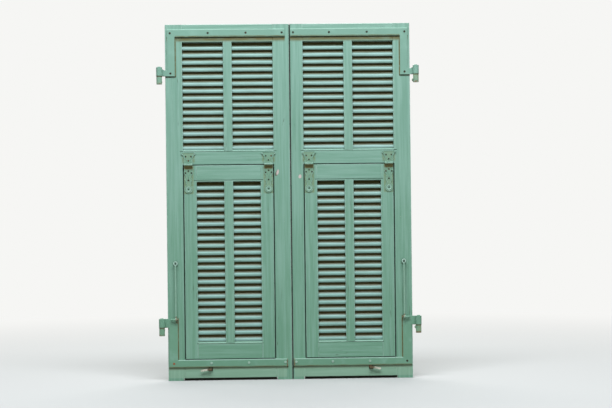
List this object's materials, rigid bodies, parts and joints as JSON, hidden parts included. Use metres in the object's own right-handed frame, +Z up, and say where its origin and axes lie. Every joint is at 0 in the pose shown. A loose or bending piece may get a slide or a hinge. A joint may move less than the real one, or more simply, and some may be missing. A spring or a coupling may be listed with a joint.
{
  "type": "louvred window shutters",
  "caption": "Pair of painted louvred window shutters with top-hung louvred flaps, corner strap hinges, wall pintles, flap stays and sliding bolts.",
  "frame": {"origin": "midway between the outer edges of the closed pair, level with the bottom of the feet, on the plane of the leaves' back faces, which is the bottom centre of the bounding box", "axes": "+Z up, front (street) face towards -Y, +X to the right as seen from the front"},
  "size_m": [1.18, 0.122, 1.6],
  "materials": {
    "painted_pine": "weathered sea-green oil paint, satin",
    "painted_iron": "forged iron under the same sea-green paint, rust at the edges",
    "worn_iron": "forged iron worn pale by handling",
    "back_iron": "forged iron under sea-green paint"
  },
  "bodies": {
    "wall_pintles": {"left_pintles": "painted_iron", "right_pintles": "painted_iron"},
    "left_leaf": {"left_hinge_stile": "painted_pine", "left_meeting_stile": "painted_pine", "left_top_rail": "painted_pine", "left_mid_rail": "painted_pine", "left_bottom_rail": "painted_pine", "left_louvre_muntin": "painted_pine", "left_louvre_slats": "painted_pine", "left_flap_stops": "painted_pine", "left_top_strap": "painted_iron", "left_bottom_strap": "painted_iron", "left_hinge_crowns": "painted_iron", "left_stay_fixings": "painted_iron", "left_catch_bracket": "painted_iron", "left_bolt_keeps": "back_iron"},
    "left_flap": {"left_flap_hinge_stile": "painted_pine", "left_flap_meeting_stile": "painted_pine", "left_flap_top_rail": "painted_pine", "left_flap_bottom_rail": "painted_pine", "left_flap_muntin": "painted_pine", "left_flap_slats": "painted_pine", "left_flap_straps": "painted_iron"},
    "left_stay": {"left_stay_bar": "painted_iron"},
    "left_catch": {"left_catch_tongue": "worn_iron"},
    "right_leaf": {"right_hinge_stile": "painted_pine", "right_meeting_stile": "painted_pine", "right_top_rail": "painted_pine", "right_mid_rail": "painted_pine", "right_bottom_rail": "painted_pine", "right_louvre_muntin": "painted_pine", "right_louvre_slats": "painted_pine", "right_flap_stops": "painted_pine", "right_top_strap": "painted_iron", "right_bottom_strap": "painted_iron", "right_hinge_crowns": "painted_iron", "right_stay_fixings": "painted_iron", "right_catch_bracket": "painted_iron"},
    "right_flap": {"right_flap_hinge_stile": "painted_pine", "right_flap_meeting_stile": "painted_pine", "right_flap_top_rail": "painted_pine", "right_flap_bottom_rail": "painted_pine", "right_flap_muntin": "painted_pine", "right_flap_slats": "painted_pine", "right_flap_straps": "painted_iron"},
    "right_stay": {"right_stay_bar": "painted_iron"},
    "right_catch": {"right_catch_tongue": "worn_iron"},
    "left_top_bolt": {"left_top_bolt": "back_iron"},
    "left_bottom_bolt": {"left_bottom_bolt": "back_iron"}
  },
  "joints": [
    {"name": "left_leaf_swing", "type": "hinge", "parent": "wall_pintles", "child": "left_leaf", "pos_m": [-0.5765, -0.0475, 0.8], "axis": [0, 0, -1], "range_deg": [0, 175]},
    {"name": "left_flap_tilt", "type": "hinge", "parent": "left_leaf", "child": "left_flap", "pos_m": [-0.27, -0.0408, 0.9695], "axis": [-1, 0, 0], "range_deg": [0, 45]},
    {"name": "left_stay_swing", "type": "hinge", "parent": "left_leaf", "child": "left_stay", "pos_m": [-0.5135, -0.0468, 0.2764], "axis": [1, 0, 0], "range_deg": [0, 100]},
    {"name": "left_catch_turn", "type": "hinge", "parent": "left_leaf", "child": "left_catch", "pos_m": [-0.3605, -0.04366, 0.051], "axis": [0, 0, 1], "range_deg": [0, 60]},
    {"name": "right_leaf_swing", "type": "hinge", "parent": "wall_pintles", "child": "right_leaf", "pos_m": [0.5765, -0.0475, 0.8], "axis": [0, 0, 1], "range_deg": [0, 175]},
    {"name": "right_flap_tilt", "type": "hinge", "parent": "right_leaf", "child": "right_flap", "pos_m": [0.27, -0.0408, 0.9695], "axis": [-1, 0, 0], "range_deg": [0, 45]},
    {"name": "right_stay_swing", "type": "hinge", "parent": "right_leaf", "child": "right_stay", "pos_m": [0.5135, -0.0468, 0.2764], "axis": [1, 0, 0], "range_deg": [0, 100]},
    {"name": "right_catch_turn", "type": "hinge", "parent": "right_leaf", "child": "right_catch", "pos_m": [0.3605, -0.04366, 0.051], "axis": [0, 0, -1], "range_deg": [0, 60]},
    {"name": "left_top_bolt_slide", "type": "slide", "parent": "left_leaf", "child": "left_top_bolt", "axis": [0, 0, 1], "range_m": [0, 0.03]},
    {"name": "left_bottom_bolt_slide", "type": "slide", "parent": "left_leaf", "child": "left_bottom_bolt", "axis": [0, 0, -1], "range_m": [0, 0.03]}
  ]
}
